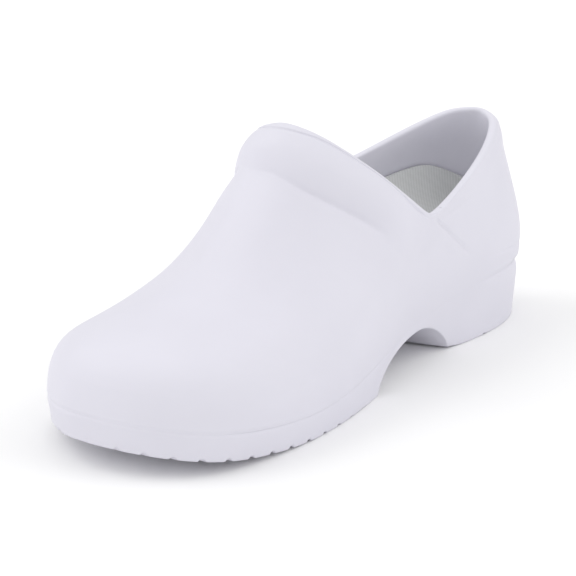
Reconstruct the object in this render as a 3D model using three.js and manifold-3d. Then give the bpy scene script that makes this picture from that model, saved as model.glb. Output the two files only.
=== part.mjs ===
// Chef clog, right shoe: a closed-back work clog moulded in EVA foam.
// Millimetres, +X from heel to toe, +Y to the inner side of the foot, +Z up, floor at z = 0.

import * as THREE from 'three';
import { NURBSCurve } from 'three/addons/curves/NURBSCurve.js';
import Module from 'manifold-3d';

const wasm = await Module();
wasm.setup();

// Driving sizes
const LENGTH = 270;
const BALL_WIDTH = 103;
const HEEL_WIDTH = 70.5;
const INSTEP_HEIGHT = 107;
const COUNTER_HEIGHT = 89.9;
const NOTCH_HEIGHT = 65.2;
const OPENING_LENGTH = 149.5;
const OPENING_WIDTH = 78.5;
const COLLAR_SETBACK = 1.5;
const WALL = 3;
const GAP = 0.35;

// Sole sizes
const TOE_SPRING = 10;
const SPRING_LENGTH = 80;
const FORE_EDGE = 11;
const HEEL_EDGE = 27;
const FORE_CORE = 4.5;
const HEEL_CORE = 19;
const SIDE_FLARE = 1.5;
const EDGE_ROUND = 0.9;
const HEEL_BLOCK = 78;
const ARCH_LENGTH = 66.8;
const ARCH_RISE = 16.2;
const TREAD_PITCH = 10.4;
const TREAD_GROOVE = 3.6;
const TREAD_DEPTH = 2;
const TREAD_BORDER = 7;

// Form of the upper's wall: how far it swells over the sole's edge, and the padded roll over the instep,
// which is wider than ROLL_WIDTH on the inner side and narrower on the outer side by ROLL_SPREAD.
const BULGE = 1.5;
const ROLL_WIDTH = 20.6;
const ROLL_SPREAD = 2.6;
const ROLL_RISE = 3.8;
const CREASE_DEPTH = 0.4;
const RIM_ROUND = 0.8;

// Insole sizes
const INSOLE_THICKNESS = 4.5;
const INSOLE_CUP = 19.5;
const INSOLE_BACK = 9;
const INSOLE_LIP = 5.5;
const INSOLE_BEVEL = 2;
const HEEL_DISH = 4;
const FORE_DISH = 1;

// Mesh steps
const COLUMNS = 88;
const HALF = COLUMNS / 2;
const RUNGS = 6;
const RIB_SAMPLES = 60;

// A table of rows under named columns
function table(names, rows) {
  return rows.map((row) => Object.fromEntries(names.map((name, k) => [name, row[k]])));
}

// Outline of the sole at the floor, toe to heel: station as a share of LENGTH from the heel,
// then the inner and outer half widths as shares of the local width of the last.
const OUTLINE = table(['along', 'inner', 'outer'], [
  [1.000, 0.000, 0.000],
  [0.985, 0.212, 0.150],
  [0.925, 0.412, 0.340],
  [0.830, 0.481, 0.454],
  [0.720, 0.490, 0.510],
  [0.600, 0.462, 0.515],
  [0.480, 0.436, 0.508],
  [0.360, 0.445, 0.508],
  [0.235, 0.480, 0.512],
  [0.120, 0.460, 0.475],
  [0.030, 0.298, 0.305],
  [0.000, 0.000, 0.000],
]);

// Collar in plan, front to back: station as a share of the opening's length from its back,
// then the half width as a share of half the opening's width.
const COLLAR = table(['along', 'half'], [
  [1.000, 0.000],
  [0.990, 0.205],
  [0.963, 0.410],
  [0.913, 0.612],
  [0.847, 0.800],
  [0.767, 0.930],
  [0.680, 1.000],
  [0.567, 0.938],
  [0.393, 0.790],
  [0.207, 0.600],
  [0.060, 0.325],
  [0.000, 0.000],
]);

// Ribs of the upper, toe to heel, each from the sole's edge to the collar: swell as a share of BULGE,
// height of the upright wall, then four steps of lean and rise as shares of the way to the collar.
const RIBS = table(
  ['swell', 'wall', 'lean1', 'rise1', 'lean2', 'rise2', 'lean3', 'rise3', 'lean4', 'rise4'],
  [
    [-0.50, 0.10, 0.05, 0.27, 0.29, 0.30, 0.64, 0.38, 0.88, 0.78],
    [-0.50, 0.10, 0.05, 0.27, 0.29, 0.30, 0.64, 0.39, 0.88, 0.79],
    [-0.30, 0.12, 0.07, 0.26, 0.30, 0.29, 0.63, 0.41, 0.89, 0.81],
    [0.80, 0.15, 0.12, 0.25, 0.34, 0.35, 0.62, 0.52, 0.88, 0.83],
    [1.00, 0.18, 0.15, 0.32, 0.38, 0.45, 0.65, 0.63, 0.86, 0.85],
    [1.00, 0.24, 0.18, 0.40, 0.40, 0.56, 0.65, 0.72, 0.86, 0.88],
    [1.00, 0.30, 0.20, 0.48, 0.45, 0.63, 0.68, 0.77, 0.86, 0.88],
    [0.90, 0.34, 0.20, 0.50, 0.45, 0.65, 0.68, 0.78, 0.86, 0.88],
    [0.80, 0.30, 0.15, 0.46, 0.40, 0.62, 0.66, 0.76, 0.86, 0.88],
    [0.70, 0.24, 0.12, 0.40, 0.34, 0.57, 0.62, 0.74, 0.85, 0.87],
    [0.70, 0.22, 0.10, 0.38, 0.30, 0.55, 0.58, 0.72, 0.83, 0.86],
    [0.70, 0.22, 0.10, 0.38, 0.30, 0.55, 0.58, 0.72, 0.83, 0.86],
  ],
);

// Where heights and widths change, as shares of LENGTH from the heel
const EDGE_BLEND = { rear: 0.12, front: 0.75 };
const CORE_BLEND = { rear: 0.16, front: 0.62 };
const WIDTH_BLEND = { rear: 0.25, front: 0.68 };
const CUP_BLEND = { rear: 0.04, front: 0.42 };
const CUP_BACK = 0.084;
const DISH_BLEND = { rear: 0.25, front: 0.60 };
const SPRING_CURVE = 1.9;

const clamp = THREE.MathUtils.clamp;
const lerp = THREE.MathUtils.lerp;
const smoothstep = THREE.MathUtils.smoothstep;

// A value that goes from its heel size to its forefoot size between two stations
function blendAlong(x, heelValue, foreValue, { rear, front }) {
  return lerp(heelValue, foreValue, smoothstep(x / LENGTH, rear, front));
}

// Heights and widths along the shoe, x measured from the heel
function springAt(x) {
  const share = clamp((x - LENGTH + SPRING_LENGTH) / SPRING_LENGTH, 0, 1);
  return TOE_SPRING * share ** SPRING_CURVE;
}

function edgeHeight(x) {
  return springAt(x) + blendAlong(x, HEEL_EDGE, FORE_EDGE, EDGE_BLEND);
}

function seatHeight(x) {
  return edgeHeight(x) + blendAlong(x, HEEL_CORE, FORE_CORE, CORE_BLEND);
}

function widthAt(x) {
  return blendAlong(x, HEEL_WIDTH, BALL_WIDTH, WIDTH_BLEND);
}

function dishAt(x) {
  return blendAlong(x, HEEL_DISH, FORE_DISH, DISH_BLEND);
}

// The insole's edge is highest beside the heel, and dips at the very back.
function insoleEdge(x) {
  const round = Math.sqrt(clamp(x / LENGTH / CUP_BACK, 0, 1));
  const cup = lerp(INSOLE_BACK, INSOLE_CUP, smoothstep(round, 0, 1));
  return blendAlong(x, cup, INSOLE_LIP, CUP_BLEND);
}

// A smooth larger or smaller of two heights, blended over a radius
function softMax(a, b, radius) {
  const top = Math.max(a, b);
  return top + radius * Math.log(Math.exp((a - top) / radius) + Math.exp((b - top) / radius));
}

function softMin(a, b, radius) {
  return -softMax(-a, -b, radius);
}

// Collar height: the instep edge falls to the notch, and the quarter climbs from it to the counter.
const NOTCH_ALONG = 0.68;
const NOTCH_ROUND = 1.6;
const COUNTER_ROUND = 1;
const INSTEP_CAMBER = 0.05;
const QUARTER_CLIMB = 1.15;
const QUARTER_CURVE = 1.42;

function collarHeight(share) {
  const front = (share - NOTCH_ALONG) / (1 - NOTCH_ALONG);
  const fall = (INSTEP_HEIGHT - NOTCH_HEIGHT) * front;
  const instep = NOTCH_HEIGHT + fall * (1 - INSTEP_CAMBER + INSTEP_CAMBER * Math.abs(front));
  const back = clamp(1 - share / NOTCH_ALONG, 0, 1);
  const climb = (COUNTER_HEIGHT - NOTCH_HEIGHT) * QUARTER_CLIMB * back ** QUARTER_CURVE;
  const quarter = softMin(NOTCH_HEIGHT + climb, COUNTER_HEIGHT, COUNTER_ROUND);
  return softMax(instep, quarter, NOTCH_ROUND);
}

// A closed smooth curve through evenly spaced values. The bends solve the spline's equations by relaxation.
function closedSpline(values) {
  const n = values.length;
  const bend = new Array(n).fill(0);
  for (let pass = 0; pass < 60; pass += 1) {
    for (let i = 0; i < n; i += 1) {
      const before = (i + n - 1) % n;
      const after = (i + 1) % n;
      const turn = values[before] - 2 * values[i] + values[after];
      bend[i] = (6 * turn - bend[before] - bend[after]) / 4;
    }
  }
  return (share) => {
    const place = ((share % 1) + 1) % 1 * n;
    const i = Math.floor(place) % n;
    const next = (i + 1) % n;
    const b = place - Math.floor(place);
    const a = 1 - b;
    return a * values[i] + b * values[next] + ((a ** 3 - a) * bend[i] + (b ** 3 - b) * bend[next]) / 6;
  };
}

// The tables run down the inner side, and the loop comes back up the outer side.
function aroundLoop(innerValues, outerValues) {
  const back = outerValues.slice(1, -1).reverse();
  return closedSpline([...innerValues, ...back]);
}

function column(rows, name) {
  const values = rows.map((row) => row[name]);
  return aroundLoop(values, values);
}

const footShare = column(OUTLINE, 'along');
const footY = aroundLoop(
  OUTLINE.map((row) => row.inner * widthAt(row.along * LENGTH)),
  OUTLINE.map((row) => -row.outer * widthAt(row.along * LENGTH)),
);
const collarShare = column(COLLAR, 'along');
const collarHalf = aroundLoop(
  COLLAR.map((row) => row.half * OPENING_WIDTH / 2),
  COLLAR.map((row) => -row.half * OPENING_WIDTH / 2),
);
const ribColumn = Object.fromEntries(Object.keys(RIBS[0]).map((name) => [name, column(RIBS, name)]));

function footX(share) {
  return footShare(share) * LENGTH;
}

// Level direction that points out of the outline at a share of the way round
function outward(share) {
  const step = 0.001;
  const x = footX(share + step) - footX(share - step);
  const y = footY(share + step) - footY(share - step);
  return new THREE.Vector3(y, -x, 0).normalize();
}

// One rib of the last, from the sole's edge up to the collar
function ribCurve(share) {
  const out = outward(share);
  const x = footX(share);
  const base = new THREE.Vector3(x, footY(share), edgeHeight(x)).addScaledVector(out, SIDE_FLARE);
  const across = collarShare(share);
  const top = new THREE.Vector3(
    COLLAR_SETBACK + across * OPENING_LENGTH,
    collarHalf(share),
    collarHeight(across),
  );
  const value = (name) => ribColumn[name](share);
  const steps = [
    [0, 0, 0],
    [0, value('wall') / 2, 0.7],
    [0, value('wall'), 1],
    [value('lean1'), value('rise1'), 0.7],
    [value('lean2'), value('rise2'), 0],
    [value('lean3'), value('rise3'), 0],
    [value('lean4'), value('rise4'), 0],
    [1, 1, 0],
  ];
  const controls = steps.map(([lean, rise, swell]) => {
    const px = lerp(base.x, top.x, lean) + out.x * swell * value('swell') * BULGE;
    const py = lerp(base.y, top.y, lean) + out.y * swell * value('swell') * BULGE;
    return new THREE.Vector4(px, py, lerp(base.z, top.z, rise), 1);
  });
  return new NURBSCurve(3, [0, 0, 0, 0, 1, 2, 3, 4, 5, 5, 5, 5], controls);
}

// A rib as a fine polyline with its running length, read by distance
function measuredRib(share) {
  const points = ribCurve(share).getPoints(RIB_SAMPLES);
  const run = [0];
  for (let k = 1; k < points.length; k += 1) {
    run.push(run[k - 1] + points[k].distanceTo(points[k - 1]));
  }
  const length = run[run.length - 1];
  const at = (distance) => {
    const d = clamp(distance, 0, length);
    let k = 1;
    while (k < run.length - 1 && run[k] < d) {
      k += 1;
    }
    const part = (d - run[k - 1]) / (run[k] - run[k - 1]);
    return points[k - 1].clone().lerp(points[k], part);
  };
  const reach = (height) => {
    let k = 1;
    while (k < points.length - 1 && points[k].z < height) {
      k += 1;
    }
    const part = clamp((height - points[k - 1].z) / (points[k].z - points[k - 1].z), 0, 1);
    return lerp(run[k - 1], run[k], part);
  };
  return { length, at, reach };
}

const ribs = Array.from({ length: COLUMNS }, (_, i) => measuredRib(i / COLUMNS));

// Normal of the last at a rib and a distance up it
function normalAt(i, distance) {
  const rib = ribs[i];
  const share = distance / rib.length;
  const next = ribs[(i + 1) % COLUMNS];
  const before = ribs[(i + COLUMNS - 1) % COLUMNS];
  const around = next.at(share * next.length).sub(before.at(share * before.length));
  const up = rib.at(distance + GAP).sub(rib.at(distance - GAP));
  return around.cross(up).normalize();
}

// Point on the last moved along its normal
function shellPoint(i, distance, offset) {
  return ribs[i].at(distance).addScaledVector(normalAt(i, distance), offset);
}

// Point at the foot of a rib moved along its normal, at the height of the sole's edge
function footPoint(i, offset) {
  const point = shellPoint(i, 0, offset);
  point.z = ribs[i].at(0).z;
  return point;
}

// How far a column lies from the toe, 0 at the toe and 1 at the heel
function rearward(i) {
  return Math.min(i, COLUMNS - i) / HALF;
}

// The roll swells below the collar, ends at a crease, and both fade out near the notch. Its places are
// shares of its width from the collar, and its fades are shares of the way from toe to heel.
const ROLL_FULL = 0.5;
const ROLL_SOFT = { start: 0.5, end: 1.15 };
const ROLL_ARC = { start: 0.45, end: 1.02 };
const ROLL_FADE = { start: 0.36, end: 0.52 };
const CREASE_FADE = { start: 0.33, end: 0.45 };
const ROLL_TURN = 0.22;
const CREASE_WIDTH = 1.3;

function rollWidth(i) {
  const inward = i < HALF ? rearward(i) : -rearward(i);
  return ROLL_WIDTH + ROLL_SPREAD * (2 * smoothstep(inward, -ROLL_TURN, ROLL_TURN) - 1);
}

function rollOffset(i, fromCollar) {
  const fade = 1 - smoothstep(rearward(i), ROLL_FADE.start, ROLL_FADE.end);
  const crisp = 1 - smoothstep(rearward(i), CREASE_FADE.start, CREASE_FADE.end);
  const share = fromCollar / rollWidth(i);
  const swell = Math.sqrt(Math.sin(Math.PI / 2 * clamp(share / ROLL_FULL, 0, 1)));
  const soft = 1 - smoothstep(share, ROLL_SOFT.start, ROLL_SOFT.end);
  const arc = 1 - clamp((share - ROLL_ARC.start) / (ROLL_ARC.end - ROLL_ARC.start), 0, 1) ** 2;
  const crease = Math.exp(-(((fromCollar - rollWidth(i) * ROLL_ARC.end) / CREASE_WIDTH) ** 2));
  return fade * (ROLL_RISE * swell * lerp(soft, arc, crisp) - CREASE_DEPTH * crisp * crease);
}

// Mesh builder: rings of points with one point per column, joined by bands and closed by ladders.
class Shell {
  constructor() {
    this.points = [];
    this.faces = [];
  }

  ring(makePoint) {
    const first = this.points.length;
    for (let i = 0; i < COLUMNS; i += 1) {
      this.points.push(makePoint(i));
    }
    return Array.from({ length: COLUMNS }, (_, i) => first + i);
  }

  band(lower, upper) {
    for (let i = 0; i < COLUMNS; i += 1) {
      const j = (i + 1) % COLUMNS;
      this.faces.push([lower[i], lower[j], upper[j]], [lower[i], upper[j], upper[i]]);
    }
  }

  // Rungs cross from the inner side to the outer side; dish lowers their middle.
  ladder(ring, faceUp, dish) {
    const row = (i) => {
      if (i === 0 || i === HALF) {
        return new Array(RUNGS + 1).fill(ring[i]);
      }
      const a = this.points[ring[i]];
      const b = this.points[ring[COLUMNS - i]];
      const line = [ring[i]];
      for (let k = 1; k < RUNGS; k += 1) {
        const v = k / RUNGS;
        const point = a.clone().lerp(b, v);
        point.z -= dish(point.x) * 4 * v * (1 - v);
        line.push(this.points.push(point) - 1);
      }
      line.push(ring[COLUMNS - i]);
      return line;
    };
    let last = row(0);
    for (let i = 1; i <= HALF; i += 1) {
      const next = row(i);
      for (let k = 0; k < RUNGS; k += 1) {
        const quad = [[last[k], next[k], next[k + 1]], [last[k], next[k + 1], last[k + 1]]];
        for (const face of quad) {
          if (new Set(face).size === 3) {
            this.faces.push(faceUp ? face : face.reverse());
          }
        }
      }
      last = next;
    }
  }

  solid() {
    const vertProperties = new Float32Array(this.points.flatMap((p) => [p.x - LENGTH / 2, p.y, p.z]));
    const triVerts = new Uint32Array(this.faces.flat());
    return new wasm.Manifold(new wasm.Mesh({ numProp: 3, vertProperties, triVerts }));
  }
}

// Distances up a rib that the upper's inner wall, the sole's core and the insole share
function seatReach(i) {
  return ribs[i].reach(seatHeight(ribs[i].at(0).x));
}

function insoleReach(i) {
  return seatReach(i) + GAP + insoleEdge(ribs[i].at(0).x);
}

// Rows of the mesh: shares of the core's side, of the outer wall below the roll, of the roll's width,
// and of the inner wall above the insole, then the turns of the rim's rounded corners in degrees.
const CORE_STEPS = [0, 0.34, 0.67, 1];
const OUTER_STEPS = [0, 0.045, 0.085, 0.12, 0.155, 0.195, 0.25, 0.32, 0.41, 0.51, 0.62, 0.74, 0.87];
const ROLL_STEPS = [1.25, 1.1, 1.02, 0.94, 0.8, 0.62, 0.43, 0.24, 0.09, 0];
const INNER_STEPS = [0, 0.1, 0.22, 0.4, 0.6, 0.8, 1];
const RIM_TURNS = [45, 90];
const ROLL_MARGIN = 1.4;

// Upper: outer wall with the roll, round rim, then the inner wall down to the sole
function buildUpper() {
  const shell = new Shell();
  const rings = [];
  const belowRoll = (i) => ribs[i].length - rollWidth(i) * ROLL_MARGIN;
  for (const step of OUTER_STEPS) {
    rings.push(shell.ring((i) => shellPoint(i, belowRoll(i) * step, 0)));
  }
  for (const step of ROLL_STEPS) {
    rings.push(shell.ring((i) => {
      const fromCollar = rollWidth(i) * step;
      return shellPoint(i, ribs[i].length - fromCollar, rollOffset(i, fromCollar));
    }));
  }
  const rimPoint = (i, inset, lift) => {
    const { length } = ribs[i];
    const up = ribs[i].at(length).sub(ribs[i].at(length - WALL)).normalize();
    return shellPoint(i, length, -inset).addScaledVector(up, lift);
  };
  const corners = RIM_TURNS.map((turn) => {
    const angle = THREE.MathUtils.degToRad(turn);
    return { inset: RIM_ROUND * (1 - Math.cos(angle)), lift: RIM_ROUND * Math.sin(angle) };
  });
  for (const { inset, lift } of corners) {
    rings.push(shell.ring((i) => rimPoint(i, inset, lift)));
  }
  for (const { inset, lift } of corners.reverse()) {
    rings.push(shell.ring((i) => rimPoint(i, WALL - inset, lift)));
  }
  for (const step of [...INNER_STEPS].reverse()) {
    rings.push(shell.ring((i) => shellPoint(i, lerp(insoleReach(i), ribs[i].length, step), -WALL)));
  }
  for (const step of CORE_STEPS.slice(1).reverse()) {
    rings.push(shell.ring((i) => shellPoint(i, seatReach(i) * step, -WALL)));
  }
  rings.push(shell.ring((i) => footPoint(i, -WALL)));
  rings.forEach((ring, k) => shell.band(ring, rings[(k + 1) % rings.length]));
  return shell.solid();
}

// Sole blank: rounded bottom edge, flared wall, ledge under the upper, and the core inside it
function buildSoleBlank() {
  const shell = new Shell();
  const bottom = (i, inset, lift) => {
    const share = i / COLUMNS;
    const x = footX(share);
    return new THREE.Vector3(x, footY(share), springAt(x) + lift).addScaledVector(outward(share), -inset);
  };
  const under = shell.ring((i) => bottom(i, EDGE_ROUND, 0));
  const corner = EDGE_ROUND * (1 - Math.SQRT1_2);
  const round = shell.ring((i) => bottom(i, corner, corner));
  const foot = shell.ring((i) => bottom(i, 0, EDGE_ROUND));
  const rim = shell.ring((i) => {
    const point = ribs[i].at(0);
    point.z -= GAP;
    return point;
  });
  const ledge = shell.ring((i) => {
    const point = footPoint(i, -WALL - GAP);
    point.z -= GAP;
    return point;
  });
  const inside = (step) => shell.ring((i) => shellPoint(i, seatReach(i) * step, -WALL - GAP));
  const core = CORE_STEPS.slice(1).map(inside);
  const rings = [under, round, foot, rim, ledge, ...core];
  for (let k = 1; k < rings.length; k += 1) {
    shell.band(rings[k - 1], rings[k]);
  }
  shell.ladder(rings[rings.length - 1], true, dishAt);
  shell.ladder(under, false, () => 0);
  return shell.solid();
}

// Turns a closed three.js geometry into a solid for cutting
function solidOf(geometry) {
  const position = geometry.getAttribute('position');
  const keys = new Map();
  const points = [];
  const indexOf = (k) => {
    const at = [position.getX(k), position.getY(k), position.getZ(k)];
    const key = at.map((value) => Math.round(value * 10000)).join();
    if (!keys.has(key)) {
      keys.set(key, points.length / 3);
      points.push(...at);
    }
    return keys.get(key);
  };
  const plainOrder = Array.from({ length: position.count }, (_, k) => k);
  const corners = (geometry.index ? Array.from(geometry.index.array) : plainOrder).map(indexOf);
  const triVerts = [];
  for (let k = 0; k < corners.length; k += 3) {
    const face = corners.slice(k, k + 3);
    if (new Set(face).size === 3) {
      triVerts.push(...face);
    }
  }
  return new wasm.Manifold(new wasm.Mesh({
    numProp: 3,
    vertProperties: new Float32Array(points),
    triVerts: new Uint32Array(triVerts),
  }));
}

// Arch between heel block and forefoot: a hump cut straight across, highest near the heel and steep at the
// forefoot. Each point is a share of ARCH_LENGTH from the heel block and a share of ARCH_RISE.
const ARCH = table(['along', 'rise'], [
  [0.000, 0.00],
  [0.060, 0.50],
  [0.240, 1.00],
  [0.420, 1.00],
  [0.615, 0.98],
  [0.973, 0.74],
  [1.000, 0.00],
]);
const CUT_BELOW = 5;
const CUT_SIDE = 1.4;

function archCutter() {
  const start = HEEL_BLOCK - LENGTH / 2;
  const points = ARCH.map(({ along, rise }) => [start + along * ARCH_LENGTH, rise * ARCH_RISE]);
  const shape = new THREE.Shape();
  shape.moveTo(start, -CUT_BELOW);
  shape.lineTo(...points[0]);
  shape.bezierCurveTo(...points[1], ...points[2], ...points[3]);
  shape.bezierCurveTo(...points[4], ...points[5], ...points[6]);
  shape.lineTo(start + ARCH_LENGTH, -CUT_BELOW);
  shape.closePath();
  const width = BALL_WIDTH * CUT_SIDE;
  const geometry = new THREE.ExtrudeGeometry(shape, { depth: width, bevelEnabled: false, curveSegments: 12 });
  geometry.rotateX(Math.PI / 2);
  geometry.translate(0, width / 2, 0);
  return solidOf(geometry);
}

// Share of the way round, on the inner side, where the outline is at a station. The outer side is there at
// one less that share.
function shareAt(x) {
  let ahead = 0;
  let behind = 0.5;
  for (let pass = 0; pass < 30; pass += 1) {
    const share = (ahead + behind) / 2;
    if (footX(share) > x) {
      ahead = share;
    } else {
      behind = share;
    }
  }
  return (ahead + behind) / 2;
}

// Tread: grooves across the forefoot and the heel inside a plain border, which follow the toe spring
function grooveCutter(x) {
  const inner = footY(shareAt(x)) - TREAD_BORDER;
  const outer = footY(1 - shareAt(x)) + TREAD_BORDER;
  const slope = Math.atan2(springAt(x + 1) - springAt(x - 1), 2);
  const geometry = new THREE.BoxGeometry(TREAD_GROOVE, inner - outer, TREAD_DEPTH * 2);
  geometry.rotateY(-slope);
  geometry.translate(x - LENGTH / 2, (inner + outer) / 2, springAt(x));
  return solidOf(geometry);
}

function treadCutters() {
  const cutters = [];
  const margin = TREAD_PITCH * 2;
  for (let x = HEEL_BLOCK + ARCH_LENGTH + TREAD_PITCH; x < LENGTH - margin; x += TREAD_PITCH) {
    cutters.push(grooveCutter(x));
  }
  for (let x = HEEL_BLOCK - TREAD_PITCH; x > margin; x -= TREAD_PITCH) {
    cutters.push(grooveCutter(x));
  }
  return cutters;
}

function buildSole() {
  let sole = buildSoleBlank().subtract(archCutter());
  for (const cutter of treadCutters()) {
    sole = sole.subtract(cutter);
  }
  return sole;
}

// Insole: a thin bed on the core, its edge turned up round the heel
function buildInsole() {
  const shell = new Shell();
  const inset = -WALL - GAP;
  const low = shell.ring((i) => shellPoint(i, seatReach(i) + GAP, inset));
  const high = shell.ring((i) => shellPoint(i, insoleReach(i), inset));
  const lip = shell.ring((i) => shellPoint(i, insoleReach(i), inset - INSOLE_BEVEL));
  shell.band(low, high);
  shell.band(high, lip);
  shell.ladder(lip, true, (x) => dishAt(x) + insoleEdge(x) - INSOLE_THICKNESS);
  shell.ladder(low, false, dishAt);
  return shell.solid();
}

function meshFrom(name, solid, look) {
  const mesh = solid.getMesh();
  const geometry = new THREE.BufferGeometry();
  const corners = new Float32Array(mesh.numVert * 3);
  for (let k = 0; k < mesh.numVert; k += 1) {
    for (let axis = 0; axis < 3; axis += 1) {
      corners[k * 3 + axis] = mesh.vertProperties[k * mesh.numProp + axis];
    }
  }
  geometry.setAttribute('position', new THREE.BufferAttribute(corners, 3));
  geometry.setIndex(Array.from(mesh.triVerts));
  geometry.computeVertexNormals();
  const object = new THREE.Mesh(geometry, new THREE.MeshStandardMaterial(look));
  object.name = name;
  return object;
}

const EVA_WHITE = { color: 0xe6e4ef, roughness: 0.5, metalness: 0 };
const CLOTH_GREY = { color: 0xb4b6b4, roughness: 0.95, metalness: 0 };

const clog = new THREE.Group();
clog.add(meshFrom('upper', buildUpper(), EVA_WHITE));
clog.add(meshFrom('sole', buildSole(), EVA_WHITE));
clog.add(meshFrom('insole', buildInsole(), CLOTH_GREY));

// The origin is under the middle of the whole clog, on the floor.
const middle = new THREE.Box3().setFromObject(clog).getCenter(new THREE.Vector3());
clog.position.set(-middle.x, -middle.y, 0);

export default clog;
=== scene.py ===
# Chef clog, right shoe: the looks of a white moulded EVA work clog.
# Shapes are worked out in millimetres in the last's own axes: x from heel to toe, y to the inner side,
# z up from the floor. They become metres in the shared frame when a mesh is made.

import math

import bpy
import numpy as np
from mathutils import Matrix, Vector


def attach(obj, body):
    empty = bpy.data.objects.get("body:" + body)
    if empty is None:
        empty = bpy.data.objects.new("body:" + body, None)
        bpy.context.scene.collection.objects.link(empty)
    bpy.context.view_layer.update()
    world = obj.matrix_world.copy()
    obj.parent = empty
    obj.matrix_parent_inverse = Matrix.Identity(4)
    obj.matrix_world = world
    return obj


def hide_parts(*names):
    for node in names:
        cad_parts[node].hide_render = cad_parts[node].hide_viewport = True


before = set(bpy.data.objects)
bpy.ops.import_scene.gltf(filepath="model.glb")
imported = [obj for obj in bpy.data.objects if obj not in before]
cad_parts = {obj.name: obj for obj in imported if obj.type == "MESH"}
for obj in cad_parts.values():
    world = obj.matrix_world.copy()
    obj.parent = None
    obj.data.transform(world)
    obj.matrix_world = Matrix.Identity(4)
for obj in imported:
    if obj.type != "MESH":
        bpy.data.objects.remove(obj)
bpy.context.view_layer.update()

# Sizes of the last. The solids have the same ones, apart from a counter that is 0.4 mm lower and a notch
# that lies 1.5 mm further back.
LENGTH = 270.0
BALL_WIDTH = 103.0
HEEL_WIDTH = 70.5
INSTEP_HEIGHT = 107.0
COUNTER_HEIGHT = 90.3
NOTCH_HEIGHT = 65.2
NOTCH_ALONG = 0.69
OPENING_LENGTH = 149.5
OPENING_WIDTH = 78.5
COLLAR_SETBACK = 1.5
WALL = 3.0
GAP = 0.35
TOE_SPRING = 10.0
SPRING_LENGTH = 80.0
SPRING_CURVE = 1.9
FORE_EDGE = 11.0
HEEL_EDGE = 27.0
FORE_CORE = 4.5
HEEL_CORE = 19.0
SIDE_FLARE = 1.5
HEEL_BLOCK = 78.0
ARCH_LENGTH = 66.8
ARCH_RISE = 16.2
BULGE = 1.5
NEAR_BULGE = 0.7
ROLL_WIDTH = 20.6
ROLL_SPREAD = 2.6
ROLL_RISE = 3.8
RIM_ROUND = 0.8
INSOLE_THICKNESS = 4.5
INSOLE_CUP = 19.5
INSOLE_BACK = 9.0
INSOLE_LIP = 5.5
HEEL_DISH = 4.0
FORE_DISH = 1.0

# Where the last's middle lies in the shared frame
SHIFT = np.array([0.432 - LENGTH / 2, 1.112, 0.0])
MM_PER_METRE = 1000

# Between which shares of the length the sizes of the heel turn into those of the forefoot
EDGE_BLEND = (0.12, 0.75)
CORE_BLEND = (0.16, 0.62)
WIDTH_BLEND = (0.25, 0.68)
DISH_BLEND = (0.25, 0.60)

# The insole's edge climbs to its cup by the root of the share of the length, and falls to its lip by the
# share itself
CUP_CLIMB = (0, 0.29)
CUP_FALL = (0.04, 0.42)

# The collar: how much the instep's slope bows, how the quarter climbs, and how round the corners are
INSTEP_CAMBER = 0.05
QUARTER_CLIMB = 1.15
QUARTER_CURVE = 1.42
COUNTER_ROUND = 1.0
NOTCH_ROUND = 1.6

# The collar dips at the inner side of the heel's back: depth, share of the way round, width
COLLAR_DIP = (1.7, 0.466, 0.034)

# The parting line drops round the heel: drop, stations where that fades out
HEEL_DROP = (2.2, 6, 34)

# The last's outline, toe to heel: share of the length, then shares of the width to the inner and outer side
OUTLINE = np.array([
    [1.000, 0.000, 0.000],
    [0.985, 0.212, 0.150],
    [0.925, 0.412, 0.340],
    [0.830, 0.481, 0.454],
    [0.720, 0.490, 0.510],
    [0.600, 0.462, 0.515],
    [0.480, 0.436, 0.508],
    [0.360, 0.445, 0.508],
    [0.235, 0.480, 0.512],
    [0.120, 0.460, 0.475],
    [0.030, 0.298, 0.305],
    [0.000, 0.000, 0.000],
])
# The collar, instep to heel: share of the opening's length and of its half width
COLLAR = np.array([
    [1.000, 0.000],
    [0.990, 0.205],
    [0.963, 0.410],
    [0.913, 0.612],
    [0.847, 0.800],
    [0.767, 0.930],
    [0.680, 1.000],
    [0.567, 0.938],
    [0.393, 0.790],
    [0.207, 0.600],
    [0.060, 0.325],
    [0.000, 0.000],
])
# Ribs of the last, toe to heel: bulge, rise of the wall, then lean and rise of four steps up to the collar
RIBS = np.array([
    [-0.50, 0.10, 0.05, 0.27, 0.29, 0.30, 0.64, 0.38, 0.88, 0.78],
    [-0.50, 0.10, 0.05, 0.27, 0.29, 0.30, 0.64, 0.39, 0.88, 0.79],
    [-0.30, 0.12, 0.07, 0.26, 0.30, 0.29, 0.63, 0.41, 0.89, 0.81],
    [0.80, 0.15, 0.12, 0.25, 0.34, 0.35, 0.62, 0.52, 0.88, 0.83],
    [1.00, 0.18, 0.15, 0.32, 0.38, 0.45, 0.65, 0.63, 0.86, 0.85],
    [1.00, 0.24, 0.18, 0.40, 0.40, 0.56, 0.65, 0.72, 0.86, 0.88],
    [1.00, 0.30, 0.20, 0.48, 0.45, 0.63, 0.68, 0.77, 0.86, 0.88],
    [0.90, 0.34, 0.20, 0.50, 0.45, 0.65, 0.68, 0.78, 0.86, 0.88],
    [0.80, 0.30, 0.15, 0.46, 0.40, 0.62, 0.66, 0.76, 0.86, 0.88],
    [0.70, 0.24, 0.12, 0.40, 0.34, 0.57, 0.62, 0.74, 0.85, 0.87],
    [0.70, 0.22, 0.10, 0.38, 0.30, 0.55, 0.58, 0.72, 0.83, 0.86],
    [0.70, 0.22, 0.10, 0.38, 0.30, 0.55, 0.58, 0.72, 0.83, 0.86],
])


def smoothstep(value, start, end):
    t = np.clip((np.asarray(value, float) - start) / (end - start), 0, 1)
    return t * t * (3 - 2 * t)


def bump_of(value, centre, width):
    return np.exp(-(((np.asarray(value, float) - centre) / width) ** 2))


def growing(value, size, start, end):
    return size * smoothstep(value, start, end)


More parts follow.
